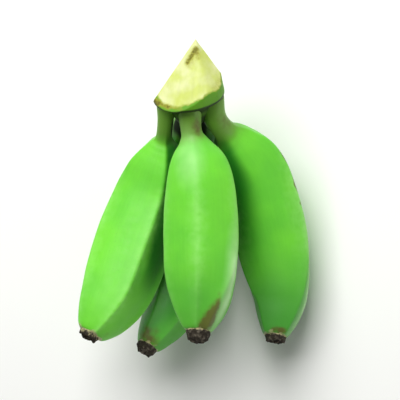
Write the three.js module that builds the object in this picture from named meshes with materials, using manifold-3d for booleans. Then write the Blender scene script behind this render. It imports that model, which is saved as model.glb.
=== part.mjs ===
// A cut hand of four unripe cooking bananas, lying on its back with the cut face of its crown upwards.
// Millimetres and degrees. Each finger is one solid with its own stalk, the crown that the stalks grow
// from is another, and so is the withered flower that is left on each finger's tip.
//
// The hand is drawn in a frame of its own: +X to the right, +Y from the tips to the crown and +Z out of
// the side that the cut face looks to. Its origin is the middle of the crown's underside. At the end the
// whole hand is turned onto the fingers that carry it, and set down with the middle of its box at X0 Y0
// and its lowest point at Z0.
import * as THREE from "three";
import { mergeVertices } from "three/addons/utils/BufferGeometryUtils.js";
import Module from "manifold-3d";

const wasm = await Module();
wasm.setup();

// ---------------------------------------------------------------- driving dimensions

const growthGap = 0.3; // between two pieces that grew together
const blockSize = 200; // larger than the hand is thick
const restPitch = 1.3; // the turn that brings the hand down onto the fingers that carry it
const restRoll = 18.3;

const crown = {
  halfWidth: 20,
  halfDepth: 19,
  tilt: 30, // the crown leans out of the hand's plane, towards +Z
  roll: 8, // its right end is the higher one
  sides: 40,
};
// The crown's upright profile as [share of its half width, height]: a stub of the fruit stalk that
// swells to a rim just over the banana stalks.
const crownProfile = [
  [0, 0],
  [0.9, 0],
  [0.975, 0.8],
  [1, 2.4],
  [0.995, 5],
  [0.97, 10],
  [0.94, 18],
  [0.9, 28],
  [0.86, 40],
  [0, 40],
];
// Five knife cuts free the hand from the fruit stalk. All of them pass through the apex, and each faces
// one way, as [across, along the crown, towards the open side].
const apex = [8, 31.5, -8];
const knifeCuts = [
  [-0.63, 1, 0.8],
  [-0.05, 1, 0.93],
  [1.1, 1, 0.8],
  [-1, 0.8, -0.46],
  [1, 0.4, -0.46],
];

// A finger's half thickness past its stalk, as [share of the length, share of the girth's radius]: a
// quick shoulder, a full belly and a blunt tip.
const stalkPlaces = [0, 0.06, 0.12]; // the stalk's root, middle and neck, as shares of the length
const fruitProfile = [
  [0.15, 0.375],
  [0.18, 0.53],
  [0.21, 0.67],
  [0.25, 0.79],
  [0.31, 0.89],
  [0.38, 0.95],
  [0.47, 0.99],
  [0.57, 1],
  [0.66, 0.99],
  [0.74, 0.955],
  [0.81, 0.885],
  [0.87, 0.785],
  [0.92, 0.665],
  [0.96, 0.53],
  [1, 0.33],
];
const fingerRings = 28;
const pointsPerStep = 20; // how finely the profile's curve is read between two rings
const fingerSegments = 24;
const fingerFlatness = 0.9; // its thickness out of the hand's plane, as a share of its width
const ridgeHardness = 9; // higher makes the faces flatter and the ridges sharper
const ridgesFullFrom = 0.2; // the stalk is round up to the shoulder, at this share of the length

// A finger's axis is a smooth curve through a few points, from its stalk's root inside the crown to its
// tip. stalk is its half thickness at its root, middle and neck. A shoulder below 1 lies further from
// the crown. firstRidge is one ridge's direction round the
// axis (0 to the left, 90 to +Z), and ridgeShare takes the section from a circle, 0, to a polygon, 1.
const fingers = [
  {
    place: "left",
    radius: 19.5,
    axis: [
      [-12.5, 0, 3],
      [-13.5, -14, -6],
      [-15.5, -27, -18],
      [-21.5, -51, -29],
      [-32, -81, -27],
      [-41.5, -108, -20],
      [-56, -132, -10],
    ],
    stalk: [6.1, 4.6, 4.4],
    shoulder: 0.84,
    ridges: 4,
    firstRidge: 108,
    ridgeShare: 0.6,
  },
  {
    place: "centre",
    radius: 20.3,
    axis: [
      [0, 0, 8],
      [1, -17, 3],
      [3, -27, 1.5],
      [6, -44, 0.5],
      [7, -80, 0],
      [7, -108, 3],
      [5, -129, 9],
    ],
    stalk: [7.2, 6.5, 5.9],
    shoulder: 0.9,
    ridges: 5,
    firstRidge: 84,
    ridgeShare: 0.5,
  },
  {
    place: "right",
    radius: 19.3,
    axis: [
      [12.8, 1, 2.5],
      [14.4, -10.5, -5.5],
      [25.5, -23.5, -20.5],
      [37.5, -40, -30],
      [44, -60, -36],
      [50, -88, -40],
      [52.5, -113, -37],
      [49.5, -135, -29],
    ],
    stalk: [6.7, 6.7, 6.5],
    shoulder: 0.93,
    ridges: 4,
    firstRidge: 143,
    ridgeShare: 0.5,
  },
  {
    place: "back",
    radius: 18.5,
    axis: [
      [0, 8, -7],
      [1, -6, -23],
      [2, -25, -43],
      [2.4, -55, -57],
      [-2, -85, -57],
      [-9, -115, -49],
      [-24.5, -141.5, -36],
    ],
    stalk: [6.6, 5.4, 5.3],
    shoulder: 1.08,
    ridges: 5,
    firstRidge: 98,
    ridgeShare: 0.5,
  },
];

// The withered flower's profile as [radius, distance from the fruit's end]: a crumpled stub.
const flowerProfile = [
  [0, 0],
  [5.6, 0],
  [6, 0.9],
  [5.6, 2.4],
  [4.7, 4],
  [3.3, 5.6],
  [1.6, 6.4],
  [0, 6.5],
];
const flowerSegments = 12;
const flowerCrumple = 0.09; // how far its sides go in and out, as a share of the radius

const peel = { color: 0x6cc93f, roughness: 0.45 };
const cutFlesh = { color: 0xe2e88c, roughness: 0.7 };
const witheredFlower = { color: 0x3b342a, roughness: 0.9 };

// ---------------------------------------------------------------- helpers

const radians = THREE.MathUtils.degToRad;
const vector = (point) => new THREE.Vector3(...point);

// A smooth profile through a few points whose first coordinates run from 0 to 1, in equal steps.
function smoothProfile(points, steps) {
  const curve = new THREE.SplineCurve(points.map((p) => new THREE.Vector2(...p)));
  const dense = curve.getPoints(steps * pointsPerStep);
  return Array.from({ length: steps + 1 }, (_, step) => {
    const wanted = step / steps;
    const next = dense.findIndex((p) => p.x > wanted);
    if (next < 0) return dense[dense.length - 1].clone();
    const [before, after] = [dense[Math.max(next - 1, 0)], dense[next]];
    const share = next ? (wanted - before.x) / (after.x - before.x) : 0;
    return before.clone().lerp(after, share);
  });
}

// How far a section with rounded ridges reaches in one direction, as a share of its faces' distance.
function ridgedReach(angle, { ridges, firstRidge, ridgeShare }) {
  const step = (2 * Math.PI) / ridges;
  let sum = 0;
  for (let i = 0; i < ridges; i++) {
    const facing = Math.cos(angle - radians(firstRidge) - step * (i + 0.5));
    sum += Math.max(0, facing) ** ridgeHardness;
  }
  return THREE.MathUtils.lerp(1, sum ** (-1 / ridgeHardness), ridgeShare);
}

// The directions across an axis at one point: left, and out towards +Z.
function acrossAxis(tangent) {
  const left = new THREE.Vector3().crossVectors(tangent, new THREE.Vector3(0, 0, 1)).normalize();
  const out = new THREE.Vector3().crossVectors(left, tangent).normalize();
  return { left, out };
}

const axisOf = (finger) => new THREE.CatmullRomCurve3(finger.axis.map(vector));

const crownTurn = new THREE.Quaternion().setFromEuler(
  new THREE.Euler(radians(crown.tilt), 0, radians(crown.roll), "ZYX"),
);

function toSolid(geometry) {
  const bare = geometry.clone();
  bare.deleteAttribute("normal");
  bare.deleteAttribute("uv");
  const merged = mergeVertices(bare, 1e-4);
  return new wasm.Manifold(
    new wasm.Mesh({
      numProp: 3,
      vertProperties: merged.attributes.position.array,
      triVerts: new Uint32Array(merged.index.array),
    }),
  );
}

function toGeometry(solid) {
  const mesh = solid.getMesh();
  const positions = new Float32Array(mesh.numVert * 3);
  for (let i = 0; i < mesh.numVert; i++) {
    const start = i * mesh.numProp;
    positions.set(mesh.vertProperties.subarray(start, start + 3), i * 3);
  }
  const geometry = new THREE.BufferGeometry();
  geometry.setAttribute("position", new THREE.BufferAttribute(positions, 3));
  geometry.setIndex(new THREE.BufferAttribute(mesh.triVerts, 1));
  geometry.computeVertexNormals();
  return geometry;
}

// Everything on the far side of a plane, as one block.
function blockBeyond(point, facing) {
  const block = new THREE.BoxGeometry(blockSize, blockSize, blockSize);
  block.translate(0, 0, blockSize / 2);
  const turn = new THREE.Quaternion().setFromUnitVectors(
    new THREE.Vector3(0, 0, 1),
    facing.clone().normalize(),
  );
  block.applyQuaternion(turn);
  block.translate(...point.toArray());
  return toSolid(block);
}

function namedMesh(name, geometry, finish) {
  const material = new THREE.MeshStandardMaterial({ ...finish, metalness: 0 });
  const mesh = new THREE.Mesh(geometry, material);
  mesh.name = name;
  return mesh;
}

// ---------------------------------------------------------------- the crown

function crownMesh() {
  const profile = crownProfile.map(
    ([share, height]) => new THREE.Vector2(share * crown.halfWidth, height),
  );
  const stub = new THREE.LatheGeometry(profile, crown.sides);
  stub.scale(1, 1, crown.halfDepth / crown.halfWidth);
  let solid = toSolid(stub);
  for (const facing of knifeCuts) {
    solid = solid.subtract(blockBeyond(vector(apex), vector(facing)));
  }
  const mesh = namedMesh("crown", toGeometry(solid), cutFlesh);
  mesh.quaternion.copy(crownTurn);
  return mesh;
}

// ---------------------------------------------------------------- the fingers

// Turned upright on a lathe, then its rings get their ridges and are carried along the finger's axis.
function fingerMesh(finger) {
  const stalkProfile = stalkPlaces.map((place, i) => [place, finger.stalk[i] / finger.radius]);
  const profile = smoothProfile([...stalkProfile, ...fruitProfile], fingerRings).map(
    (p) => new THREE.Vector2(p.y * finger.radius, p.x),
  );
  profile.unshift(new THREE.Vector2(0, 0));
  profile.push(new THREE.Vector2(0, 1));
  const geometry = new THREE.LatheGeometry(profile, fingerSegments);
  const axis = axisOf(finger);
  const position = geometry.attributes.position;
  for (let i = 0; i < position.count; i++) {
    const share = position.getY(i) ** finger.shoulder;
    const angle = Math.atan2(position.getZ(i), position.getX(i));
    const ridged = THREE.MathUtils.smoothstep(share, 0, ridgesFullFrom);
    const reach = THREE.MathUtils.lerp(1, ridgedReach(angle, finger), ridged);
    const radius = Math.hypot(position.getX(i), position.getZ(i)) * reach;
    const { left, out } = acrossAxis(axis.getTangentAt(share));
    const place = axis
      .getPointAt(share)
      .addScaledVector(left, Math.cos(angle) * radius)
      .addScaledVector(out, Math.sin(angle) * radius * fingerFlatness);
    position.setXYZ(i, place.x, place.y, place.z);
  }
  // The stalk stops just under the crown.
  const crownward = new THREE.Vector3(0, 1, 0).applyQuaternion(crownTurn);
  const crownSide = blockBeyond(crownward.clone().multiplyScalar(-growthGap), crownward);
  const grown = toSolid(geometry).subtract(crownSide);
  return namedMesh(`finger_${finger.place}`, toGeometry(grown), peel);
}

function flowerEndMesh(finger, number) {
  const profile = flowerProfile.map(([radius, along]) => new THREE.Vector2(radius, along));
  const geometry = new THREE.LatheGeometry(profile, flowerSegments);
  const position = geometry.attributes.position;
  for (let i = 0; i < position.count; i++) {
    const angle = Math.atan2(position.getZ(i), position.getX(i));
    const crumple = 1 + flowerCrumple * Math.sin(3 * angle + number) * Math.cos(5 * angle);
    position.setX(i, position.getX(i) * crumple);
    position.setZ(i, position.getZ(i) * crumple);
  }
  geometry.translate(0, growthGap, 0);
  const axis = axisOf(finger);
  const mesh = namedMesh(`flower_end_${finger.place}`, geometry, witheredFlower);
  mesh.quaternion.setFromUnitVectors(new THREE.Vector3(0, 1, 0), axis.getTangentAt(1));
  mesh.position.copy(axis.getPointAt(1));
  return mesh;
}

// ---------------------------------------------------------------- the hand, set down to rest

const hand = new THREE.Group();
hand.add(crownMesh());
fingers.forEach((finger, number) => {
  hand.add(fingerMesh(finger));
  hand.add(flowerEndMesh(finger, number));
});
hand.rotation.set(radians(restPitch), radians(restRoll), 0);

const bunch = new THREE.Group();
bunch.add(hand);
bunch.updateMatrixWorld(true);
const box = new THREE.Box3().setFromObject(bunch, true);
const middle = box.getCenter(new THREE.Vector3());
hand.position.set(-middle.x, -middle.y, -box.min.z);

export default bunch;
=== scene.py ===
"""The looks of a cut hand of four unripe cooking bananas, grown round its CAD model.

Driving numbers are millimetres and degrees in the hand's own frame, where nothing else is said:
+X to the right, +Y from the tips to the crown, +Z out of the side that the cut face looks to, with
the middle of the crown's underside as its origin. Meshes are metres in the frame of the CAD model.
"""

import math

import bmesh
import bpy
import numpy as np
from bpy.props import FloatProperty, FloatVectorProperty, IntProperty, PointerProperty
from mathutils import Matrix, Vector, noise
from mathutils.bvhtree import BVHTree


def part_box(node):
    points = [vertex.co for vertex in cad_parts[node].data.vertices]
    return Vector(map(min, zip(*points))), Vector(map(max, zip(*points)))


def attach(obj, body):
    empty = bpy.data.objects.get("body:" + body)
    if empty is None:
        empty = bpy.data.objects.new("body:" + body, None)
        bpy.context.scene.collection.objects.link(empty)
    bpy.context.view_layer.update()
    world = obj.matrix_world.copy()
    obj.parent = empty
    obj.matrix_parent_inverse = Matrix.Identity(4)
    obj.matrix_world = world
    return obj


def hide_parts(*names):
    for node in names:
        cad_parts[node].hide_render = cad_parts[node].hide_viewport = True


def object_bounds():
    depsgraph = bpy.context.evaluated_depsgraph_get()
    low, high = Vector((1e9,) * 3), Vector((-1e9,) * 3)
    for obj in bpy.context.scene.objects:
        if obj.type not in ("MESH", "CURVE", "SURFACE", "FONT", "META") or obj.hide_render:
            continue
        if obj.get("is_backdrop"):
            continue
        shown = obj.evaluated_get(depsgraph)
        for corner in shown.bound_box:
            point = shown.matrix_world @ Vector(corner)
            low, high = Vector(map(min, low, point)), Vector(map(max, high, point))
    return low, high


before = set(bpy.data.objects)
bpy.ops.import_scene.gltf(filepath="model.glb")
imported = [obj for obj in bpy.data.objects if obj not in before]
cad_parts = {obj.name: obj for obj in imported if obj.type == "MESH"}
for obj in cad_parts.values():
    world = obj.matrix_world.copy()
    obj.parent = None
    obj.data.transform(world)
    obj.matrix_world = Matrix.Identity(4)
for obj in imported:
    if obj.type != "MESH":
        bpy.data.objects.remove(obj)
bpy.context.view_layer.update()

bl_info = {
    "name": "Green Banana Hand",
    "version": (1, 0, 0),
    "blender": (4, 5, 0),
    "location": "View3D > Sidebar > Bananas",
    "description": "Grows a cut hand of four unripe bananas with its crown and withered flowers",
    "category": "Add Mesh",
}

MM = 0.001

# ------------------------------------------------------------------ the hand's driving numbers

REST_PITCH = 1.3
REST_ROLL = 18.3
HAND_PLACE = (3.9001, 57.7697, 74.89)  # where the middle of the crown's underside rests
GROWTH_GAP = 0.3

HAND = Matrix.Translation(Vector(HAND_PLACE) * MM) @ (
    Matrix.Rotation(math.radians(REST_PITCH), 4, "X")
    @ Matrix.Rotation(math.radians(REST_ROLL), 4, "Y")
)

# A finger's half thickness past its stalk, as (share of the length, share of the girth's radius).
STALK_PLACES = (0, 0.06, 0.12)
FRUIT_PROFILE = [
    (0.15, 0.375), (0.18, 0.53), (0.21, 0.67), (0.25, 0.79), (0.31, 0.89), (0.38, 0.95),
    (0.47, 0.99), (0.57, 1), (0.66, 0.99), (0.74, 0.955), (0.81, 0.885), (0.87, 0.785),
    (0.92, 0.665), (0.96, 0.53), (0.985, 0.43), (0.997, 0.36), (1, 0.33),
]
FINGER_FLATNESS = 0.9
FACES_SET_IN = 0.975  # the ridges are sharper than the CAD model's, so the faces lie further in

# Stretches of a finger's length, as (the share where something sets in, the share where it is full).
RIDGES_RISE = (0.05, 0.3)  # the stalk is round, and the ridges rise over the shoulder
RIDGES_PALEN = (0.2, 0.5)
RIDGES_TURN = (0.62, 0.95)
# Over this stretch the tip turns duller and darker: partly its own colour, partly painted shade.
GREEN_DULLS_AND_SHADES = (0.55, 0.97)
# Painted shade between the stalks fades in between these two strengths of its spots.
GAP_SHADE_SHOWS = (0.3, 0.9)  # this one is between two strengths of the soot
# A ridge is painted paler: a sharp rubbed line within a soft, broad painted highlight, each as
# (strength, half width in radians).
RIDGE_PALE_LINES = [(0.45, 0.13), (0.55, 0.42)]
# The growth's unevenness as (size across, share of its height, seed).
LUMPS = [(24, 1, 1), (9, 0.5, 5)]
PIECE_TOLERANCE = 2.5 * MM  # how far a finger's or flower's box may lie off its CAD node's

# Each finger's axis runs from its stalk's root in the crown to its tip. The stalk's half thickness
# is given at its root, middle and neck. A shoulder below 1 lies further from the crown. Ridges are
# directions round the axis (0 to the left, 90 to +Z), first over the belly and then near the tip,
# and their hardness follows in the same way. The number dull is how far the green is
# painted duller and darker at the tip: partly the tip's own duller green, partly painted shade.
# The number neighbour_shade is how strongly the painted shade from its neighbours darkens it.
# Marks are rubbed or bruised spots. Painted_highlight spots are painted highlights and painted
# reflections: pale patches where light falls on the peel or glances off it. Gap_shade spots are
# painted shade: a dark green-black put in the gaps between the stalks. Each spot is (share of the
# length, direction, half length, half width, strength). The withered flower is given as (half
# width, depth, how far its middle is sunk, how far its corky collar reaches up).
FINGERS = {
    "left": {
        "radius": 19.5,
        "axis": [
            (-12.5, 0, 3), (-13.5, -14, -6), (-15.5, -27, -18), (-21.5, -51, -29),
            (-32, -81, -27), (-41.5, -108, -20), (-56, -132, -10),
        ],
        "stalk": (6.1, 4.6, 4.4),
        "shoulder": 0.84,
        "ridges": ([18, 108, 198, 288], [20, 106, 200, 288]),
        "hardness": (40, 44),
        "flower": (5.7, 4.9, 1.0, 2.3),
        "dull": 0.1,
        "neighbour_shade": 1,
        "marks": [(0.1, 60, 8, 6, 0.35), (0.99, 150, 6, 5, 0.5)],
        "bloom": [],
        "soot": [(0.11, 180, 11, 4, 1)],
    },
    "centre": {
        "radius": 20.3,
        "axis": [
            (0, 0, 8), (1, -17, 3), (3, -27, 1.5), (6, -44, 0.5), (7, -80, 0), (7, -108, 3),
            (5, -129, 9),
        ],
        "stalk": (7.2, 6.5, 5.9),
        "shoulder": 0.9,
        "ridges": ([12, 84, 156, 228, 300], [14, 80, 122, 214, 300]),
        "hardness": (10, 34),
        "flower": (6.5, 7.0, 0.1, 0.8),
        "dull": 0.6,
        "neighbour_shade": 1,
        "marks": [
            (0.13, 128, 9, 5.5, 0.9), (0.975, 112, 6, 4.5, 1.5), (0.94, 121, 8, 3.2, 1.1),
            (0.9, 123, 9, 1.8, 0.7),
        ],
        "bloom": [(0.8, 150, 24, 5.5, 0.9), (0.25, 70, 16, 9, 0.45)],
        "soot": [],
    },
    "right": {
        "radius": 19.3,
        "axis": [
            (12.8, 1, 2.5), (14.4, -10.5, -5.5), (25.5, -23.5, -20.5), (37.5, -40, -30),
            (44, -60, -36), (50, -88, -40), (52.5, -113, -37), (49.5, -135, -29),
        ],
        "stalk": (6.7, 6.7, 6.5),
        "shoulder": 0.93,
        "ridges": ([16, 149, 236, 312], [38, 127, 228, 312]),
        "hardness": (26, 36),
        "flower": (5.9, 5.4, 0.6, 1.2),
        "dull": 1,
        "neighbour_shade": 1,
        "marks": [
            (0.1, 130, 8, 6, 0.8), (0.99, 100, 2, 5, 1.5), (0.4, 151, 16, 1.0, 0.7),
            (0.36, 152, 2.4, 1.5, 1.6), (0.45, 150, 3, 1.4, 1.5), (0.52, 149, 1.5, 1.2, 1.2),
            (0.8, 245, 5, 3, 0.7),
        ],
        "bloom": [(0.66, 166, 45, 6, 1.2)],
        "soot": [],
    },
    "back": {
        "radius": 18.5,
        "axis": [
            (0, 8, -7), (1, -6, -23), (2, -25, -43), (2.4, -55, -57), (-2, -85, -57),
            (-9, -115, -49), (-24.5, -141.5, -36),
        ],
        "stalk": (6.6, 5.4, 5.3),
        "shoulder": 1.08,
        "ridges": ([45, 117, 189, 261, 333], [54, 120, 189, 261, 333]),
        "hardness": (26, 36),
        "flower": (5.8, 6.2, 0.3, 0.5),
        "dull": 0.8,
        "neighbour_shade": 1.6,
        "marks": [(0.62, 262, 7, 3, 0.8), (0.3, 230, 6, 4, 0.5), (0.985, 70, 7, 8, 1.3)],
        "bloom": [],
        "soot": [(0.12, 90, 15, 11, 2), (0.13, 18, 13, 5, 0.75)],
    },
}

# The shade that fingers give each other is painted into the peel's colour. It is worked out on a
# coarse net of each one's points.
SKY_RAYS = 40
SHADE_ROWS, SHADE_STEPS = 45, 36
SHADE_REACH = 34 * MM
SHADE_START = 0.3 * MM
SHADE_SMOOTHINGS = 2

FLOWER_ROWS, FLOWER_STEPS = 40, 96
FLOWER_GAP = 0.1  # from the finger's tip, in millimetres
FLOWER_TURN = 1.7  # each flower is turned this many radians further than the one before it
FLOWER_TORN = (0.08, 0.4)  # the shares of its rows over which it gets torn
# The shares of its half width over which its middle sinks, and over which a low bump rises again.
FLOWER_PIT, FLOWER_BUMP = (0.86, 0.5), (0.25, 0.05)
# Its section from its collar to its middle, as (share of the rows, share of the half width,
# share of the depth), and its crumbs as (size across, share of their height, seed).
FLOWER_SECTION = [
    (0, 0.98, -0.12), (0.08, 1.05, 0.02), (0.16, 1.04, 0.12), (0.24, 0.98, 0.25),
    (0.36, 0.88, 0.47), (0.5, 0.74, 0.7), (0.62, 0.58, 0.85), (0.76, 0.38, 0.95),
    (0.9, 0.17, 1), (1, 0.04, 1),
]
FLOWER_CRUMBS = [(2.2, 0.6, 11), (0.9, 0.4, 15)]

CROWN_HALF_WIDTH, CROWN_HALF_DEPTH = 20, 19
CROWN_TILT, CROWN_ROLL = 30, 8
CROWN = (
    Matrix.Rotation(math.radians(CROWN_ROLL), 3, "Z")
    @ Matrix.Rotation(math.radians(CROWN_TILT), 3, "X")
)
# Its upright profile as (height, share of the half width), and the knife cuts through its apex,
# each facing one way as (across, along the crown, towards the open side).
CROWN_PROFILE = [
    (0, 0.9), (0.4, 0.965), (1.2, 0.992), (2.4, 1), (5, 0.995), (10, 0.97), (18, 0.94),
    (28, 0.9), (40, 0.86),
]
APEX = (8, 31.5, -8)
OPEN_CUTS = [(-0.63, 1, 0.8), (-0.05, 1, 0.93), (1.1, 1, 0.8)]
BACK_CUTS = [(-1, 0.8, -0.46), (1, 0.4, -0.46)]
OPEN_EDGE_SHARPNESS = 14
CROWN_STEPS = 260
UNDER_ROWS, SKIN_ROWS, CUT_ROWS = 14, 24, 64
SKIN_CROWDING = 1.6  # the skin's rows crowd towards its lower rim
EDGE_HALVINGS = 30
# Its flesh fills the space between the stalks' roots in a boss of this depth, which slopes between
# two shares of the underside's width. The CAD node has no boss, so the two boxes differ more.
CROWN_BOSS = 15
BOSS_SIDE = (0.3, 0.92)
CROWN_TOLERANCE = 8 * MM
# The heights between which the painted shade in the crease under the rim ends above, the heights
# between which it ends below, and those between which the boss is painted dark as shade.
CREASE_TOP, CREASE_FOOT, BOSS_DARK = (1.7, 2.6), (-9, -4), (-9, -6)
# From the first of these places across to the second, the knife left a wider and wider green edge.
GREEN_WIDENS, GREEN_WIDTH = (8, -6), 2.6
WIDEST_INWARD = 30  # distances from the knife's edge aren't told apart past this
# The knife's tremor as (size across, height, seed).
CROWN_WAVES = [(9, 0.35, 3), (3.2, 0.14, 4)]
CALM_AT_APEX = (0.93, 1)  # shares of the way from the knife's edge to the apex
SPLIT_WIDTH = 0.6  # a split's share of its stain's width
# Where the flesh is browned, in the hand's frame: (x, y of one end, x, y of the other, half
# width, strength, depth of the split there).
STAINS = [
    (3.6, 26.6, -1.0, 19.0, 1.3, 1.0, 0.7),
    (3.2, 25.0, 0.4, 17.6, 2.8, 0.4, 0.0),
    (4.4, 26.5, 5.0, 21.5, 1.3, 0.6, 0.0),
    (-21.2, 0.4, -18.0, -3.2, 1.7, 1.4, 0.0),
    (-18.6, -2.4, -11.5, -5.6, 1.4, 1.0, 0.0),
    (-11.5, -5.4, -4.5, -7.0, 1.2, 0.6, 0.0),
    (16.8, 9.5, 14.0, 4.4, 2.2, 0.42, 0.0),
]

FLOOR_SIZE = 3  # metres each way from its middle
AIM = (6, -56.7, -20)  # the middle of the view, in the hand's frame
# Each light as (the direction from there to it, its distance in metres, its width in metres).
KEY_LIGHT = ((-0.44, 0.78, 0.98), 1.1, 0.9)
FILL_LIGHT = ((0.95, -0.5, 0.26), 1.0, 0.5)
SENSOR_WIDTH = 36

CURVE_SAMPLES = 4000
TANGENT_STEP = 0.002  # a share of the axis's length
NOISE_STEP = (17.3, 5.1, 11.7)  # how far apart two seeds' noises are taken


def linear(hex_colour):
    """An sRGB hex colour as linear red, green, blue and alpha."""
    channels = [int(hex_colour[i:i + 2], 16) / 255 for i in (1, 3, 5)]
    return (*[c / 12.92 if c <= 0.04045 else ((c + 0.055) / 1.055) ** 2.4 for c in channels], 1)


def colour(name, description, hex_colour):
    """A colour setting of a PropertyGroup."""
    return FloatVectorProperty(
        name=name, description=description, subtype="COLOR", size=4, min=0, max=1,
        default=linear(hex_colour),
    )


def smoothstep(low, high, value):
    """0 at low, 1 at high, and smooth between them."""
    share = np.clip((value - low) / (high - low), 0, 1)
    return share * share * (3 - 2 * share)


# ------------------------------------------------------------------ settings


class FruitSize(bpy.types.PropertyGroup):
    rings: IntProperty(
        name="Rings", description="Rings of faces from a finger's root to its tip",
        default=180, min=40,
    )
    segments: IntProperty(
        name="Segments", description="Faces round a finger", default=144, min=24,
    )
    ridge_share: FloatProperty(
        name="Ridge share", description="How far a section goes from a circle to a polygon",
        default=0.56, subtype="FACTOR", min=0, max=1,
    )
    lumps: FloatProperty(
        name="Lumps", description="How far the growth's unevenness stands out",
        default=0.35 * MM, unit="LENGTH",
    )
    crumbs: FloatProperty(
        name="Crumbs", description="How far a withered flower's crumbs stand out",
        default=0.45 * MM, unit="LENGTH",
    )


class PeelLook(bpy.types.PropertyGroup):
    fresh: colour("Fresh green", "The belly's peel", "#71d235")
    deep: colour("Deep green", "The bluer green between", "#63c436")
    stalk: colour("Stalk", "The tougher stalk's olive green", "#6b9a35")
    # End is the duller green of the tips and the pores; over some tips it is partly painted shade.
    end: colour("End", "The duller green towards the tip", "#449530")
    # Paler ridges: partly rubbed wax, partly a painted highlight along them.
    ridge: colour("Ridge", "The paler wax on the ridges", "#9be275")
    bruise: colour("Bruise", "Rubbed and bruised peel", "#5b4a24")
    collar: colour("Collar", "The corky ring round the flower", "#b3b183")
    # This colour is painted highlights and painted reflections.
    bloom: colour("Bloom", "Peel under a thick pale wax", "#cbeeb8")
    # This colour is painted shade, where the neighbouring fingers block the light.
    painted_shade: colour("Shaded", "Peel that its neighbours kept in the dark", "#237a18")
    # This colour is painted shade: a near-black put in the gaps between the stalks.
    soot: colour("Soot", "The mould between the stalks", "#12200c")
    roughness: FloatProperty(
        name="Roughness", description="The waxed peel's roughness", default=0.46,
        subtype="FACTOR", min=0, max=1,
    )


class CutLook(bpy.types.PropertyGroup):
    flesh: colour("Flesh", "The freshly cut flesh", "#c0cb68")
    pale_flesh: colour("Pale flesh", "Its drier, paler parts", "#d2d79c")
    under_skin: colour("Under the skin", "The green layer just under the skin", "#8ea33a")
    skin: colour("Skin", "The crown's outer skin", "#5c971b")
    sap: colour("Sap", "Flesh lightly browned by its sap", "#98962e")
    dried_sap: colour("Dried sap", "Where the sap has dried dark", "#605c16")
    # This colour is painted shade in the crease under the rim and on the boss between the stalks.
    crease_shade: colour("Crease", "The dirt in the crease under the rim", "#24380c")


class FlowerLook(bpy.types.PropertyGroup):
    husk: colour("Husk", "The withered husk", "#2c261c")
    dust: colour("Dust", "Its greyer edges", "#6b6456")
    core: colour("Core", "The browner middle of a sunk flower", "#6e4a33")
    collar: colour("Collar", "The corky collar", "#a8a077")


class StageLook(bpy.types.PropertyGroup):
    floor: colour("Floor", "The pale floor", "#f2f2ef")
    lens: FloatProperty(
        name="Lens", description="The camera's focal length in millimetres", default=142.1,
    )
    camera_distance: FloatProperty(
        name="Camera distance", description="From the camera to the hand's middle",
        default=0.9, unit="LENGTH",
    )
    key_power: FloatProperty(name="Key light", description="Watts", default=17.8, min=0)
    fill_power: FloatProperty(name="Fill light", description="Watts", default=3.8, min=0)
    sky: FloatProperty(name="Room light", description="Its strength", default=0.23, min=0)


# ------------------------------------------------------------------ making and placing meshes


def smooth_curve(points):
    """A centripetal Catmull-Rom curve through the points, as a dense table of points."""
    points = np.array(points, float)
    points = np.vstack([2 * points[0] - points[1], points, 2 * points[-1] - points[-2]])
    spans = len(points) - 3
    place = np.linspace(0, spans, CURVE_SAMPLES)
    first = np.minimum(place.astype(int), spans - 1)
    t = (place - first)[:, None]
    p0, p1, p2, p3 = (points[first + i] for i in range(4))
    d0, d1, d2 = (
        np.linalg.norm(b - a, axis=1)[:, None] ** 0.5 for a, b in ((p0, p1), (p1, p2), (p2, p3))
    )
    start = ((p1 - p0) / d0 - (p2 - p0) / (d0 + d1) + (p2 - p1) / d1) * d1
    end = ((p2 - p1) / d1 - (p3 - p1) / (d1 + d2) + (p3 - p2) / d2) * d1
    square = -3 * p1 + 3 * p2 - 2 * start - end
    cube = 2 * p1 - 2 * p2 + start + end
    return p1 + start * t + square * t ** 2 + cube * t ** 3


def profile_at(profile, places):
    """A profile's second number at places along its first."""
    table = smooth_curve(profile)
    return np.interp(places, table[:, 0], table[:, 1])


def axis_at(axis, shares):
    """Points, tangents, and the directions to the left and out, at shares of an axis's length."""
    table = smooth_curve(axis)
    lengths = np.r_[0, np.cumsum(np.linalg.norm(np.diff(table, axis=0), axis=1))]

    def point(share):
        wanted = np.clip(share, 0, 1) * lengths[-1]
        return np.stack([np.interp(wanted, lengths, table[:, i]) for i in range(3)], -1)

    tangent = point(np.minimum(shares + TANGENT_STEP, 1))
    tangent -= point(np.maximum(shares - TANGENT_STEP, 0))
    tangent /= np.linalg.norm(tangent, axis=-1, keepdims=True)
    left = np.cross(tangent, (0, 0, 1))
    left /= np.linalg.norm(left, axis=-1, keepdims=True)
    return point(shares), tangent, left, np.cross(left, tangent), lengths[-1]


def unevenness(points, size, seed):
    """Smooth noise between about -1 and 1 at each point, with lumps of one size."""
    offset = Vector(NOISE_STEP) * seed
    return np.array([noise.noise(Vector(p) / size + offset) for p in points])


def spun(rows, steps):
    """A closed form turned round Z: rows of radius 1 at heights 0 to rows - 1, with a pole below
    and a pole above. It returns the bmesh and each vertex's row and angle."""
    bm = bmesh.new()
    heights = [(0, -1)] + [(1, row) for row in range(rows)] + [(0, rows)]
    chain = [bm.verts.new((radius, 0, height)) for radius, height in heights]
    edges = [bm.edges.new(pair) for pair in zip(chain, chain[1:])]
    bmesh.ops.spin(
        bm, geom=chain + edges, cent=(0, 0, 0), axis=(0, 0, 1), angle=math.tau, steps=steps,
        use_merge=True,
    )
    bmesh.ops.remove_doubles(bm, verts=bm.verts, dist=1e-5)
    bmesh.ops.recalc_face_normals(bm, faces=bm.faces)
    places = np.array([v.co for v in bm.verts])
    return bm, np.rint(places[:, 2]), np.arctan2(places[:, 1], places[:, 0])


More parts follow.
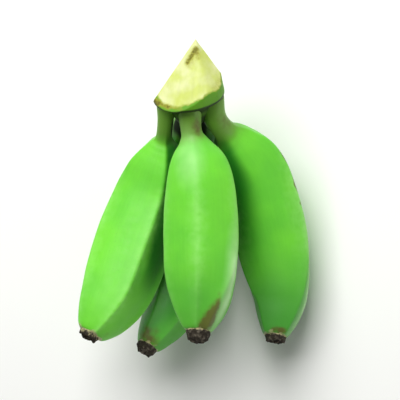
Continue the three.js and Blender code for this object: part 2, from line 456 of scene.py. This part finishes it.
def placed(points):
    """Points of the hand's frame, in millimetres, as metres in the CAD model's frame."""
    turn = np.array(HAND.to_3x3())
    return points * MM @ turn.T + np.array(HAND.translation)


def paint(mesh, **attributes):
    """Stores a number or a vector for each vertex, for the materials to read."""
    for name, values in attributes.items():
        kind = "FLOAT" if values.ndim == 1 else "FLOAT_VECTOR"
        layer = mesh.attributes.new(name, kind, "POINT")
        layer.data.foreach_set("value" if values.ndim == 1 else "vector", values.ravel())


def cut_flat(mesh, point, facing):
    """Cuts off what lies beyond a plane, and closes the cut."""
    bm = bmesh.new()
    bm.from_mesh(mesh)
    cut = bmesh.ops.bisect_plane(
        bm, geom=bm.verts[:] + bm.edges[:] + bm.faces[:], plane_co=point, plane_no=facing,
        clear_outer=True,
    )["geom_cut"]
    bmesh.ops.edgeloop_fill(bm, edges=[e for e in cut if isinstance(e, bmesh.types.BMEdge)])
    bmesh.ops.recalc_face_normals(bm, faces=bm.faces)
    bm.to_mesh(mesh)
    bm.free()


def stand_for(mesh, node, material, tolerance):
    """Shows a finished mesh in place of a CAD node, after checking that it lies where that does."""
    mesh.shade_smooth()
    mesh.materials.append(material)
    piece = bpy.data.objects.new(mesh.name, mesh)
    bpy.context.scene.collection.objects.link(piece)
    places = np.array([v.co for v in mesh.vertices])
    drift = max(
        abs(a - b) for end, at in zip(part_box(node), (places.min(0), places.max(0)))
        for a, b in zip(end, at)
    )
    if drift > tolerance:
        raise RuntimeError(f"{mesh.name} lies {drift / MM:.1f} mm off its CAD node")
    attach(piece, "root")
    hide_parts(node)


# ------------------------------------------------------------------ materials


def add(tree, kind, inputs=None, out=0, **settings):
    """Adds a node, sets its settings and inputs, links those that are sockets, and returns one
    of its outputs."""
    node = tree.nodes.new(kind)
    for name, value in settings.items():
        setattr(node, name, value)
    for name, value in (inputs or {}).items():
        if isinstance(value, bpy.types.NodeSocket):
            tree.links.new(value, node.inputs[name])
        else:
            node.inputs[name].default_value = value
    return node.outputs[out]


def every(size):
    """The scale of a pattern whose parts are this many millimetres apart."""
    return 1 / (size * MM)


def new_material(name):
    """A material with its node tree and its shader."""
    material = bpy.data.materials.new(name)
    material.use_nodes = True
    tree = material.node_tree
    return material, tree, tree.nodes["Principled BSDF"]


def waxed_green_peel(look):
    """Unripe banana peel: a tough green skin under a natural wax. The eye gets a soft satin
    gloss, faint lengthwise fibres, paler ridges (partly rubbed, partly a painted highlight),
    pin-head pores and an olive stalk. Painted light lies over it: painted highlights and painted
    reflections on some faces, painted shade where its neighbours block the light and in the gaps
    between the stalks, and painted shade that darkens some tips."""
    material, tree, shader = new_material("waxed_green_peel")
    grown = add(tree, "ShaderNodeAttribute", out=1, attribute_name="grown")
    along, ridge, marks, bloom, shade, dull, soot = (
        add(tree, "ShaderNodeAttribute", out=2, attribute_name=name)
        for name in ("along", "ridge", "marks", "bloom", "shade", "dull", "soot")
    )
    place = add(tree, "ShaderNodeTexCoord", out=3)

    # Cloudy changes of green, about 30 mm across.
    clouds = add(tree, "ShaderNodeTexNoise", {"Vector": place, "Scale": every(29.4), "Detail": 3})
    clouds = add(tree, "ShaderNodeMapRange", {0: clouds, 1: 0.36, 2: 0.66})
    green = add(
        tree, "ShaderNodeMix", {0: clouds, 6: look.deep, 7: look.fresh}, out=2, data_type="RGBA"
    )
    # Fibres under the skin, 1.4 mm apart and about 30 mm long.
    stretched = add(tree, "ShaderNodeMapping", {"Vector": grown, "Scale": (1, 1, 0.05)})
    fibres = add(
        tree, "ShaderNodeTexNoise", {"Vector": stretched, "Scale": every(1.43), "Detail": 2}
    )
    fibres_faint = add(tree, "ShaderNodeMapRange", {0: fibres, 1: 0.35, 2: 0.7, 3: 0.98, 4: 1.015})
    green = add(
        tree, "ShaderNodeMix", {0: 1.0, 6: green, 7: fibres_faint}, out=2, data_type="RGBA",
        blend_type="MULTIPLY",
    )
    # Painted shade: peel whose view its neighbours block is painted a deeper, darker green.
    shade = add(
        tree, "ShaderNodeMapRange", {0: shade, 1: 0.24, 2: 0.56}, interpolation_type="SMOOTHSTEP"
    )
    # Ridges are painted paler, in a speckle 4 mm across: rubbed wax, and a broad painted highlight.
    speckle = add(tree, "ShaderNodeTexNoise", {"Vector": place, "Scale": every(3.85), "Detail": 4})
    worn_and_highlight = add(tree, "ShaderNodeMath", {0: ridge, 1: speckle}, operation="MULTIPLY")
    worn_and_highlight = add(tree, "ShaderNodeMapRange", {0: worn_and_highlight, 1: 0.12, 2: 0.6, 4: 0.42})
    # The stalk's olive runs out raggedly over the shoulder, in tongues 8 mm wide.
    ragged = add(tree, "ShaderNodeTexNoise", {"Vector": place, "Scale": every(7.7), "Detail": 3})
    ragged = add(tree, "ShaderNodeMath", {0: ragged, 1: 0.06, 2: along}, operation="MULTIPLY_ADD")
    stalk = add(
        tree, "ShaderNodeMapRange", {0: ragged, 1: 0.25, 2: 0.16},
        interpolation_type="SMOOTHSTEP",
    )
    # Pores under 1 mm across, 3 mm apart, a little darker than the peel.
    pores = add(
        tree, "ShaderNodeTexVoronoi", {"Vector": place, "Scale": every(3.03), "Randomness": 1.0}
    )
    pores = add(tree, "ShaderNodeMapRange", {0: pores, 1: 0.16, 2: 0.06, 4: 0.14})
    # Painted highlights and painted reflections: pale patches on some faces where light falls or
    # glances.
    highlight_share = add(tree, "ShaderNodeMath", {0: bloom, 1: clouds, 2: bloom}, operation="MULTIPLY_ADD")
    highlight_share = add(tree, "ShaderNodeMapRange", {0: highlight_share, 1: 0.1, 2: 1.6, 4: 0.8})
    # Bruises and rubbed spots, broken up by the speckle.
    bruise = add(tree, "ShaderNodeMath", {0: marks, 1: speckle}, operation="MULTIPLY")
    bruise = add(
        tree, "ShaderNodeMapRange", {0: bruise, 1: 0.12, 2: 0.7, 4: 0.85},
        interpolation_type="SMOOTHSTEP",
    )
    # The last millimetre or so before the flower turns to cork, raggedly.
    corky = add(tree, "ShaderNodeMath", {0: speckle, 1: 0.03, 2: along}, operation="MULTIPLY_ADD")
    corky = add(tree, "ShaderNodeMapRange", {0: corky, 1: 1.01, 2: 1.016})
    # The tints lie over the green in this order. Towards the tip it is duller and darker, partly
    # painted shade. The painted shade in the gaps between the stalks covers everything.
    tints = [
        (shade, look.painted_shade), (worn_and_highlight, look.ridge), (dull, look.end), (stalk, look.stalk),
        (pores, look.end), (highlight_share, look.bloom), (bruise, look.bruise), (corky, look.collar),
        (soot, look.soot),
    ]
    for share, tint in tints:
        green = add(
            tree, "ShaderNodeMix", {0: share, 6: green, 7: tint}, out=2, data_type="RGBA"
        )
    tree.links.new(green, shader.inputs["Base Color"])

    rough = add(tree, "ShaderNodeMapRange", {
        0: speckle, 1: 0.3, 2: 0.7, 3: look.roughness - 0.05, 4: look.roughness + 0.07,
    })
    # The painted gap shade is made fully rough, so that it reflects nothing.
    matt = add(tree, "ShaderNodeMath", {0: rough, 1: soot}, operation="MAXIMUM")
    tree.links.new(matt, shader.inputs["Roughness"])
    relief = add(
        tree, "ShaderNodeBump", {"Strength": 0.1, "Distance": 0.1 * MM, "Height": fibres}
    )
    # Shallow dents, 11 mm across.
    dents = add(tree, "ShaderNodeTexNoise", {"Vector": place, "Scale": every(11.1), "Detail": 3})
    relief = add(
        tree, "ShaderNodeBump",
        {"Strength": 0.35, "Distance": 0.5 * MM, "Height": dents, "Normal": relief},
    )
    tree.links.new(relief, shader.inputs["Normal"])
    shader.inputs["IOR"].default_value = 1.42
    shader.inputs["Specular IOR Level"].default_value = 0.36
    shader.inputs["Subsurface Weight"].default_value = 0.12
    shader.inputs["Subsurface Radius"].default_value = (0.8, 1.6, 0.4)
    shader.inputs["Subsurface Scale"].default_value = 1.5 * MM
    shader.inputs["Sheen Weight"].default_value = 0.05
    shader.inputs["Sheen Roughness"].default_value = 0.45
    shader.inputs["Sheen Tint"].default_value = (0.85, 1, 0.8, 1)
    return material


def cut_crown_flesh(look):
    """The crown, sliced with a knife: moist fibrous flesh, pale yellow, that browns where its sap
    dries. The eye gets strings of fibre, a ragged green edge and brown stains."""
    material, tree, shader = new_material("cut_crown_flesh")
    inward, stain, under = (
        add(tree, "ShaderNodeAttribute", out=2, attribute_name=name)
        for name in ("inward", "stain", "under")
    )
    place = add(tree, "ShaderNodeTexCoord", out=3)

    # Strings of fibre 2 mm thick and 9 mm long run up the crown.
    stretched = add(tree, "ShaderNodeMapping", {"Vector": place, "Scale": (1, 0.22, 0.5)})
    strings = add(
        tree, "ShaderNodeTexNoise",
        {"Vector": stretched, "Scale": every(1.92), "Detail": 4, "Distortion": 0.4},
    )
    # Drier, paler clouds, 11 mm across.
    clouds = add(tree, "ShaderNodeTexNoise", {"Vector": place, "Scale": every(11.1), "Detail": 3})
    paler = add(tree, "ShaderNodeMapRange", {0: clouds, 1: 0.38, 2: 0.66})
    flesh = add(
        tree, "ShaderNodeMix", {0: paler, 6: look.flesh, 7: look.pale_flesh}, out=2,
        data_type="RGBA",
    )
    string_tint = add(tree, "ShaderNodeMapRange", {0: strings, 1: 0.35, 2: 0.7, 3: 0.95, 4: 1.02})
    flesh = add(
        tree, "ShaderNodeMix", {0: 1.0, 6: flesh, 7: string_tint}, out=2, data_type="RGBA",
        blend_type="MULTIPLY",
    )
    # The skin's green shows through for 1 to 4 mm inside the knife's edge, in a ragged line of
    # teeth 3 mm apart.
    ragged = add(tree, "ShaderNodeTexNoise", {"Vector": place, "Scale": every(3.03), "Detail": 4})
    edge = add(tree, "ShaderNodeMath", {0: ragged, 1: -3.2, 2: inward}, operation="MULTIPLY_ADD")
    green_edge = add(tree, "ShaderNodeMapRange", {0: edge, 1: -0.2, 2: -1.4})
    skin = add(tree, "ShaderNodeMapRange", {0: edge, 1: -1.4, 2: -1.9})
    # Sap browns the flesh in specks 1 mm across, and dries darker where there is more of it.
    specks = add(tree, "ShaderNodeTexNoise", {"Vector": place, "Scale": every(1.11), "Detail": 5})
    specks = add(tree, "ShaderNodeMapRange", {0: specks, 1: 0.3, 2: 0.7, 3: 0.5, 4: 1.2})
    browned = add(tree, "ShaderNodeMath", {0: stain, 1: specks}, operation="MULTIPLY")
    sap = add(tree, "ShaderNodeMapRange", {0: browned, 1: 0.1, 2: 0.8, 4: 0.9})
    dried_sap = add(tree, "ShaderNodeMapRange", {0: browned, 1: 0.6, 2: 1.4, 4: 0.9})
    # The last tint is painted shade: the crease under the rim and the boss are painted dark.
    tints = [
        (green_edge, look.under_skin), (skin, look.skin), (sap, look.sap),
        (dried_sap, look.dried_sap), (under, look.crease_shade),
    ]
    for share, tint in tints:
        flesh = add(
            tree, "ShaderNodeMix", {0: share, 6: flesh, 7: tint}, out=2, data_type="RGBA"
        )
    tree.links.new(flesh, shader.inputs["Base Color"])

    moist = add(tree, "ShaderNodeMapRange", {0: clouds, 1: 0.3, 2: 0.7, 3: 0.5, 4: 0.68})
    tree.links.new(moist, shader.inputs["Roughness"])
    relief = add(
        tree, "ShaderNodeBump", {"Strength": 0.3, "Distance": 0.6 * MM, "Height": strings}
    )
    tree.links.new(relief, shader.inputs["Normal"])
    shader.inputs["Specular IOR Level"].default_value = 0.25
    shader.inputs["Subsurface Weight"].default_value = 0.25
    shader.inputs["Subsurface Radius"].default_value = (1.6, 1.4, 0.6)
    shader.inputs["Subsurface Scale"].default_value = 2 * MM
    return material


def withered_husk(look):
    """A withered flower: dry, corky and crumbling. The eye gets a matt black-brown husk with
    greyer torn edges and a beige collar."""
    material, tree, shader = new_material("withered_husk")
    rise, proud, hollow = (
        add(tree, "ShaderNodeAttribute", out=2, attribute_name=name)
        for name in ("rise", "proud", "hollow")
    )
    place = add(tree, "ShaderNodeTexCoord", out=3)

    # Crumbs 1.6 mm across. What stands proud is dusty, and the hollow middle is browner.
    crumbs = add(tree, "ShaderNodeTexNoise", {"Vector": place, "Scale": every(1.61), "Detail": 5})
    dusty = add(tree, "ShaderNodeMath", {0: proud, 1: crumbs}, operation="MULTIPLY")
    dusty = add(tree, "ShaderNodeMapRange", {0: dusty, 1: 0.22, 2: 0.6, 4: 0.85})
    core = add(tree, "ShaderNodeMath", {0: hollow, 1: crumbs}, operation="MULTIPLY")
    core = add(tree, "ShaderNodeMapRange", {0: core, 1: 0.25, 2: 0.5, 4: 0.7})
    ring = add(tree, "ShaderNodeMath", {0: crumbs, 1: 0.4, 2: rise}, operation="MULTIPLY_ADD")
    ring = add(tree, "ShaderNodeMapRange", {0: ring, 1: 0.32, 2: 0.24})
    husk = look.husk
    for share, tint in ((dusty, look.dust), (core, look.core), (ring, look.collar)):
        husk = add(
            tree, "ShaderNodeMix", {0: share, 6: husk, 7: tint}, out=2, data_type="RGBA"
        )
    tree.links.new(husk, shader.inputs["Base Color"])

    shader.inputs["Roughness"].default_value = 0.88
    shader.inputs["Specular IOR Level"].default_value = 0.3
    relief = add(
        tree, "ShaderNodeBump", {"Strength": 0.9, "Distance": 0.6 * MM, "Height": crumbs}
    )
    tree.links.new(relief, shader.inputs["Normal"])
    return material


def pale_floor(look):
    """A matt painted board. The eye gets an even, pale ground."""
    material, tree, shader = new_material("pale_floor")
    place = add(tree, "ShaderNodeTexCoord", out=3)
    # A faint mottle, 83 mm across.
    mottle = add(tree, "ShaderNodeTexNoise", {"Vector": place, "Scale": every(83.3), "Detail": 2})
    tint = add(tree, "ShaderNodeMapRange", {0: mottle, 3: 0.985, 4: 1})
    paint_colour = add(
        tree, "ShaderNodeMix", {0: 1.0, 6: look.floor, 7: tint}, out=2, data_type="RGBA",
        blend_type="MULTIPLY",
    )
    tree.links.new(paint_colour, shader.inputs["Base Color"])
    shader.inputs["Roughness"].default_value = 0.9
    return material


# ------------------------------------------------------------------ the pieces


def ridged_section(angle, ridges, hardness, ridge_share):
    """How far a section reaches in each direction, as a share of its faces' distance, and how
    near each direction is to a ridge. The ridges are given for each point, in degrees."""
    count = len(ridges)
    step = math.tau / count
    turned = np.mod(angle - np.radians(ridges[0]), math.tau)
    starts = [np.mod(np.radians(r - ridges[0]), math.tau) for r in ridges]
    ends = starts[1:] + [np.full_like(turned, math.tau)]
    even = np.zeros_like(turned)  # the direction if the ridges were evenly spread
    for i, (start, end) in enumerate(zip(starts, ends)):
        inside = (turned >= start) & (turned <= end)
        even = np.where(inside, step * (i + (turned - start) / (end - start)), even)
    sums = sum(
        np.maximum(0, np.cos(even - step * (i + 0.5))) ** hardness for i in range(count)
    )
    reach = 1 + (sums ** (-1 / hardness) - 1) * ridge_share
    off = np.abs(np.mod(even / step + 0.5, 1) - 0.5) * step
    ridge = sum(strength * np.exp(-((off / width) ** 2)) for strength, width in RIDGE_PALE_LINES)
    return reach, ridge


def spots_at(spots, share, angle, radius, length):
    """The summed strength of a finger's spots at each point."""
    strength = np.zeros_like(share)
    for at, direction, half_length, half_width, peak in spots:
        off = np.mod(angle - math.radians(direction) + math.pi, math.tau) - math.pi
        far = ((share - at) * length / half_length) ** 2 + (off * radius / half_width) ** 2
        strength += peak * np.exp(-far)
    return strength


def finger_mesh(name, finger, number, size):
    """A finger spun upright, then given its girth and ridges and carried along its axis."""
    bm, row, angle = spun(size.rings + 1, size.segments)
    place = np.clip(row / size.rings, 0, 1)
    share = place ** finger["shoulder"]
    stalk = [(at, half / finger["radius"]) for at, half in zip(STALK_PLACES, finger["stalk"])]
    radius = profile_at(stalk + FRUIT_PROFILE, place) * finger["radius"] * FACES_SET_IN
    turning = smoothstep(*RIDGES_TURN, share)
    ridges = [a + (b - a) * turning for a, b in zip(*finger["ridges"])]
    belly, tip = finger["hardness"]
    hardness = belly + (tip - belly) * turning
    reach, ridge = ridged_section(angle, ridges, hardness, size.ridge_share)
    ridged = smoothstep(*RIDGES_RISE, share)
    pole = (row < 0) | (row > size.rings)
    radius = np.where(pole, 0, radius * (1 + (reach - 1) * ridged))
    middle, _, left, out, length = axis_at(finger["axis"], share)
    across, outward = np.cos(angle)[:, None], np.sin(angle)[:, None] * FINGER_FLATNESS
    around = left * across + out * outward
    even = middle + around * radius[:, None]
    lumps = sum(part * unevenness(even, width, number + seed) for width, part, seed in LUMPS)
    radius = np.where(pole, 0, radius + lumps * ridged * size.lumps / MM)
    points = middle + around * radius[:, None]

    # Of the spots, marks are real, the highlight spots are painted highlights and painted
    # reflections, and the gap spots are painted shade.
    marks, bloom, soot = (
        spots_at(finger[kind], share, angle, radius, length) for kind in ("marks", "bloom", "soot")
    )
    mesh = bpy.data.meshes.new(name)
    bm.to_mesh(mesh)
    bm.free()
    mesh.vertices.foreach_set("co", placed(points).ravel())
    straight = np.stack([
        np.cos(angle) * finger["radius"], np.sin(angle) * finger["radius"], share * length,
    ], -1)
    paint(
        mesh, grown=straight * MM + number, along=share, around=angle,
        ridge=ridge * ridged * smoothstep(*RIDGES_PALEN, share),
        marks=marks, bloom=bloom, soot=smoothstep(*GAP_SHADE_SHOWS, soot),
        dull=smoothstep(*GREEN_DULLS_AND_SHADES, share) * finger["dull"],
    )
    under_crown = CROWN @ Vector((0, 1, 0))
    cut_flat(
        mesh, HAND @ (under_crown * -GROWTH_GAP * MM), HAND.to_3x3() @ under_crown
    )
    return mesh


def shaded_by(mesh, others):
    """How much of each point's view its neighbours block, from 0 to 1, found on a coarse net of
    the finger's points and then spread over the rest."""
    corners, faces = [], []
    for other in others:
        faces += [[len(corners) + i for i in face.vertices] for face in other.polygons]
        corners += [v.co.copy() for v in other.vertices]
    tree = BVHTree.FromPolygons(corners, faces)
    turns = np.arange(SKY_RAYS) * math.pi * (3 - math.sqrt(5))
    rise = np.sqrt((np.arange(SKY_RAYS) + 0.5) / SKY_RAYS)
    flat = np.sqrt(1 - rise ** 2)
    rays = [Vector(ray) for ray in zip(np.cos(turns) * flat, np.sin(turns) * flat, rise)]
    share = np.array([v.value for v in mesh.attributes["along"].data])
    angle = np.array([v.value for v in mesh.attributes["around"].data])
    near = {}
    for index, vertex in enumerate(mesh.vertices):
        cell = (
            round(share[index] * (SHADE_ROWS - 1)),
            round(angle[index] / math.tau * SHADE_STEPS) % SHADE_STEPS,
        )
        off = abs(share[index] * (SHADE_ROWS - 1) - cell[0])
        if cell not in near or off < near[cell][0]:
            near[cell] = (off, vertex)
    net = np.zeros((SHADE_ROWS, SHADE_STEPS))
    for cell, (_, vertex) in near.items():
        facing = vertex.normal.to_track_quat("Z", "Y")
        start = vertex.co + vertex.normal * SHADE_START
        hits = sum(
            tree.ray_cast(start, facing @ ray, SHADE_REACH)[0] is not None for ray in rays
        )
        net[cell] = hits / SKY_RAYS
    for _ in range(SHADE_SMOOTHINGS):
        net = (net * 2 + np.roll(net, 1, 1) + np.roll(net, -1, 1)) / 4
        net[1:-1] = (net[1:-1] * 2 + net[:-2] + net[2:]) / 4
    down = np.clip(share * (SHADE_ROWS - 1), 0, SHADE_ROWS - 1.001)
    round_it = np.mod(angle / math.tau, 1) * SHADE_STEPS
    row, step = down.astype(int), round_it.astype(int) % SHADE_STEPS
    down, round_it = down - row, round_it - np.floor(round_it)
    beside = (step + 1) % SHADE_STEPS
    upper = net[row, step] * (1 - round_it) + net[row, beside] * round_it
    lower = net[row + 1, step] * (1 - round_it) + net[row + 1, beside] * round_it
    return upper * (1 - down) + lower * down


def flower_mesh(name, finger, number, size):
    """A withered flower: a ribbed, crumbling stub on the finger's tip, sunk in the middle."""
    bm, row, angle = spun(FLOWER_ROWS, FLOWER_STEPS)
    half_width, depth, sunk, collar = finger["flower"]
    share = np.clip(row / (FLOWER_ROWS - 1), 0, 1)
    section = smooth_curve(FLOWER_SECTION)
    reach = np.interp(share, section[:, 0], section[:, 1])
    rise = np.interp(share, section[:, 0], section[:, 2])
    pole = (row < 0) | (row >= FLOWER_ROWS)
    torn = smoothstep(*FLOWER_TORN, share)
    turned = angle + FLOWER_TURN * number
    lobes = sum(
        height * np.sin(count * turned + shift)
        for count, height, shift in ((3, 0.05, 0), (5, 0.035, 1), (9, 0.03, 2.3 * number))
    )
    ribs = np.abs(np.sin(8.5 * turned + 0.8 * np.sin(3 * turned)))
    bump = 0.2 * smoothstep(*FLOWER_BUMP, reach)
    pit = sunk * smoothstep(*FLOWER_PIT, reach) * (0.7 - bump)
    radius = np.where(pole, 0, reach * half_width * (1 + lobes * torn + 0.035 * ribs * torn))
    height = depth * (rise - pit + torn * 0.05 * np.sin(4 * turned + number))
    flat = np.stack([np.cos(angle) * radius, np.sin(angle) * radius, height], -1)
    crumbs = sum(
        part * unevenness(flat, width, number + seed) for width, part, seed in FLOWER_CRUMBS
    )
    outward = np.stack([np.cos(angle), np.sin(angle), np.full_like(angle, 0.9)], -1)
    stand_out = size.crumbs / MM * 2 * crumbs * (0.3 + 0.7 * torn)
    flat += outward * np.where(pole, 0, stand_out)[:, None]
    tip, tangent, left, out, _ = axis_at(finger["axis"], np.array([1.0]))
    points = tip + flat[:, :1] * left + flat[:, 1:2] * out + (flat[:, 2:] + FLOWER_GAP) * tangent
    mesh = bpy.data.meshes.new(name)
    bm.to_mesh(mesh)
    bm.free()
    mesh.vertices.foreach_set("co", placed(points).ravel())
    paint(
        mesh, rise=share / collar, hollow=pit,
        proud=np.clip(0.45 + crumbs * 1.5 + 0.25 * (ribs - 0.6), 0, 1),
    )
    return mesh


def cut_slope(across, outward):
    """How steeply the cut surface falls from the apex in each direction: where two open cuts
    meet, the knife left a soft edge, and the back cuts are crisp."""
    opened = [(n[0] * across + n[2] * outward) / n[1] for n in OPEN_CUTS]
    high = np.maximum.reduce(opened)
    soft = high + np.log(
        sum(np.exp((slope - high) * OPEN_EDGE_SHARPNESS) for slope in opened)
    ) / OPEN_EDGE_SHARPNESS
    back = [(n[0] * across + n[2] * outward) / n[1] for n in BACK_CUTS]
    return np.maximum.reduce([soft] + back)


def crown_mesh(name):
    """The crown: a stub spun upright, then its upper rows laid on the straight cuts to the apex."""
    rows = UNDER_ROWS + SKIN_ROWS + CUT_ROWS
    bm, row, angle = spun(rows, CROWN_STEPS)
    apex = np.array(APEX, float)
    cos, sin = np.cos(angle) * CROWN_HALF_WIDTH, np.sin(angle) * CROWN_HALF_DEPTH

    def fall(height):
        """How high the cut surface lies where the stub's side has risen to this height."""
        swell = profile_at(CROWN_PROFILE, height)
        x, z = cos * swell - apex[0], sin * swell - apex[2]
        far = np.hypot(x, z)
        return apex[1] - far * cut_slope(x / far, z / far)

    low, high = np.zeros_like(angle), np.full_like(angle, CROWN_PROFILE[-1][0])
    for _ in range(EDGE_HALVINGS):  # halving finds the height of the knife's edge
        middle = (low + high) / 2
        above = fall(middle) > middle
        low, high = np.where(above, middle, low), np.where(above, high, middle)
    edge_height = low
    under = np.clip((row + 1) / UNDER_ROWS, 0, 1)
    skin = np.clip((row + 1 - UNDER_ROWS) / SKIN_ROWS, 0, 1)
    cut = np.clip((row + 1 - UNDER_ROWS - SKIN_ROWS) / (CUT_ROWS + 1), 0, 1)
    height = skin ** SKIN_CROWDING * edge_height
    swell = profile_at(CROWN_PROFILE, height) * under
    boss = CROWN_BOSS * (1 - smoothstep(*BOSS_SIDE, under)) * (skin <= 0)
    points = np.stack([cos * swell, height - boss, sin * swell], -1)
    pole_low, pole_high = row < 0, row >= rows
    points[pole_low] = (0, -CROWN_BOSS, 0)
    points += (apex - points) * np.where(pole_high, 1, cut)[:, None]
    inward = np.where(
        cut > 0, cut * np.linalg.norm(apex - points, axis=1) / np.maximum(1 - cut, 1e-3),
        height - edge_height,
    )
    inward = np.minimum(inward, WIDEST_INWARD)
    inward -= GREEN_WIDTH * smoothstep(*GREEN_WIDENS, points[:, 0])

    hand_points = points @ np.array(CROWN).T
    stain, split = np.zeros_like(angle), np.zeros_like(angle)
    for x0, y0, x1, y1, width, strength, depth in STAINS:
        start, run = np.array((x0, y0)), np.array((x1 - x0, y1 - y0))
        off = hand_points[:, :2] - start
        share = np.clip(off @ run / (run @ run), 0, 1)
        far = np.linalg.norm(off - share[:, None] * run, axis=1)
        front = smoothstep(-0.2, 0.1, np.sin(angle) + 0.35)
        stain += strength * np.exp(-((far / width) ** 2)) * front
        split += depth * np.exp(-((far / (width * SPLIT_WIDTH)) ** 2)) * front * (cut > 0.02)
    wave = sum(height * unevenness(points, width, seed) for width, height, seed in CROWN_WAVES)
    calm = 1 - smoothstep(*CALM_AT_APEX, cut)
    sideways = np.stack([np.cos(angle), np.zeros_like(angle), np.sin(angle)], -1)
    away = np.where((cut > 0)[:, None], (0.1, 0.7, 0.7), sideways)
    points += away * ((wave * calm * under - split) * ~pole_low)[:, None]
    rise = points[:, 1]
    # Painted shade in the crease under the rim.
    crease_shade = (1 - smoothstep(*CREASE_TOP, rise)) * smoothstep(*CREASE_FOOT, rise) * (cut <= 0)
    mesh = bpy.data.meshes.new(name)
    bm.to_mesh(mesh)
    bm.free()
    mesh.vertices.foreach_set("co", placed(points @ np.array(CROWN).T).ravel())
    # The boss between the stalks' roots is painted dark too, as painted shade.
    paint(mesh, inward=inward, stain=stain, under=crease_shade + (1 - smoothstep(*BOSS_DARK, rise)))
    return mesh


# ------------------------------------------------------------------ operators


class BANANA_OT_fingers(bpy.types.Operator):
    """Grow the four fingers with their stalks"""

    bl_idname = "bananas.fingers"
    bl_label = "Fingers"

    def execute(self, context):
        scene = context.scene
        peel = waxed_green_peel(scene.banana_peel)
        meshes = {
            place: finger_mesh(f"banana_{place}", finger, number, scene.banana_size)
            for number, (place, finger) in enumerate(FINGERS.items())
        }
        for place, mesh in meshes.items():
            others = [other for other in meshes.values() if other is not mesh]
            # Painted shade: the share of each point's view that the other fingers block, which
            # darkens its colour.
            paint(mesh, shade=shaded_by(mesh, others) * FINGERS[place]["neighbour_shade"])
        for place, mesh in meshes.items():
            stand_for(mesh, f"finger_{place}", peel, PIECE_TOLERANCE)
        return {"FINISHED"}


class BANANA_OT_flowers(bpy.types.Operator):
    """Set the withered flowers on the fingers' tips"""

    bl_idname = "bananas.flowers"
    bl_label = "Withered flowers"

    def execute(self, context):
        scene = context.scene
        husk = withered_husk(scene.banana_flower)
        for number, (place, finger) in enumerate(FINGERS.items()):
            mesh = flower_mesh(f"flower_{place}", finger, number, scene.banana_size)
            stand_for(mesh, f"flower_end_{place}", husk, PIECE_TOLERANCE)
        return {"FINISHED"}


class BANANA_OT_crown(bpy.types.Operator):
    """Cut the crown that the fingers grow from"""

    bl_idname = "bananas.crown"
    bl_label = "Crown"

    def execute(self, context):
        flesh = cut_crown_flesh(context.scene.banana_cut)
        mesh = crown_mesh("crown_cushion")
        stand_for(mesh, "crown", flesh, CROWN_TOLERANCE)
        return {"FINISHED"}


class BANANA_OT_stage(bpy.types.Operator):
    """Lay the pale floor and set up the soft light and the camera"""

    bl_idname = "bananas.stage"
    bl_label = "Stage"

    def execute(self, context):
        scene, look = context.scene, context.scene.banana_stage
        bm = bmesh.new()
        bmesh.ops.create_grid(bm, x_segments=2, y_segments=2, size=FLOOR_SIZE)
        bmesh.ops.translate(bm, verts=bm.verts, vec=(0, 0, min(0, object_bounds()[0].z)))
        mesh = bpy.data.meshes.new("floor")
        bm.to_mesh(mesh)
        bm.free()
        mesh.materials.append(pale_floor(look))
        floor = bpy.data.objects.new("floor", mesh)
        scene.collection.objects.link(floor)
        floor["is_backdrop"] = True

        turn = HAND.to_3x3()
        middle = HAND @ (Vector(AIM) * MM)
        lights = [
            ("key_light", look.key_power, KEY_LIGHT),
            ("fill_light", look.fill_power, FILL_LIGHT),
        ]
        for name, power, (towards, distance, width) in lights:
            light = bpy.data.lights.new(name, "AREA")
            light.size = width
            light.energy = power
            lamp = bpy.data.objects.new(name, light)
            away = turn @ Vector(towards).normalized()
            lamp.location = middle + away * distance
            lamp.rotation_euler = away.to_track_quat("Z", "Y").to_euler()
            scene.collection.objects.link(lamp)

        camera = bpy.data.cameras.new("camera")
        camera.lens = look.lens
        camera.sensor_width = SENSOR_WIDTH
        camera.clip_start, camera.clip_end = 0.01, 20
        rig = bpy.data.objects.new("camera", camera)
        rig.matrix_world = Matrix.Translation(
            middle + turn @ Vector((0, 0, look.camera_distance))
        ) @ turn.to_4x4()
        scene.collection.objects.link(rig)
        scene.camera = rig

        world = bpy.data.worlds.new("room")
        world.use_nodes = True
        background = world.node_tree.nodes["Background"]
        background.inputs["Color"].default_value = (1, 1, 1, 1)
        background.inputs["Strength"].default_value = look.sky
        scene.world = world
        scene.view_settings.view_transform = "Standard"
        return {"FINISHED"}


class BANANA_PT_panel(bpy.types.Panel):
    """Lists the steps and the settings"""

    bl_label = "Banana hand"
    bl_idname = "BANANA_PT_panel"
    bl_space_type = "VIEW_3D"
    bl_region_type = "UI"
    bl_category = "Bananas"

    def draw(self, context):
        for operator in OPERATORS:
            self.layout.operator(operator.bl_idname)
        for name in SETTINGS:
            box = self.layout.box()
            group = getattr(context.scene, name)
            for setting in group.bl_rna.properties:
                if setting.identifier not in ("rna_type", "name"):
                    box.prop(group, setting.identifier)


SETTINGS = {
    "banana_size": FruitSize,
    "banana_peel": PeelLook,
    "banana_cut": CutLook,
    "banana_flower": FlowerLook,
    "banana_stage": StageLook,
}
OPERATORS = [BANANA_OT_fingers, BANANA_OT_flowers, BANANA_OT_crown, BANANA_OT_stage]
CLASSES = [*SETTINGS.values(), *OPERATORS, BANANA_PT_panel]


def register():
    for item in CLASSES:
        bpy.utils.register_class(item)
    for name, group in SETTINGS.items():
        setattr(bpy.types.Scene, name, PointerProperty(type=group))


def unregister():
    for name in SETTINGS:
        delattr(bpy.types.Scene, name)
    for item in reversed(CLASSES):
        bpy.utils.unregister_class(item)


def main():
    """Makes every piece in order."""
    register()
    bpy.ops.bananas.fingers()
    bpy.ops.bananas.flowers()
    bpy.ops.bananas.crown()
    bpy.ops.bananas.stage()


if __name__ == "__main__":
    main()
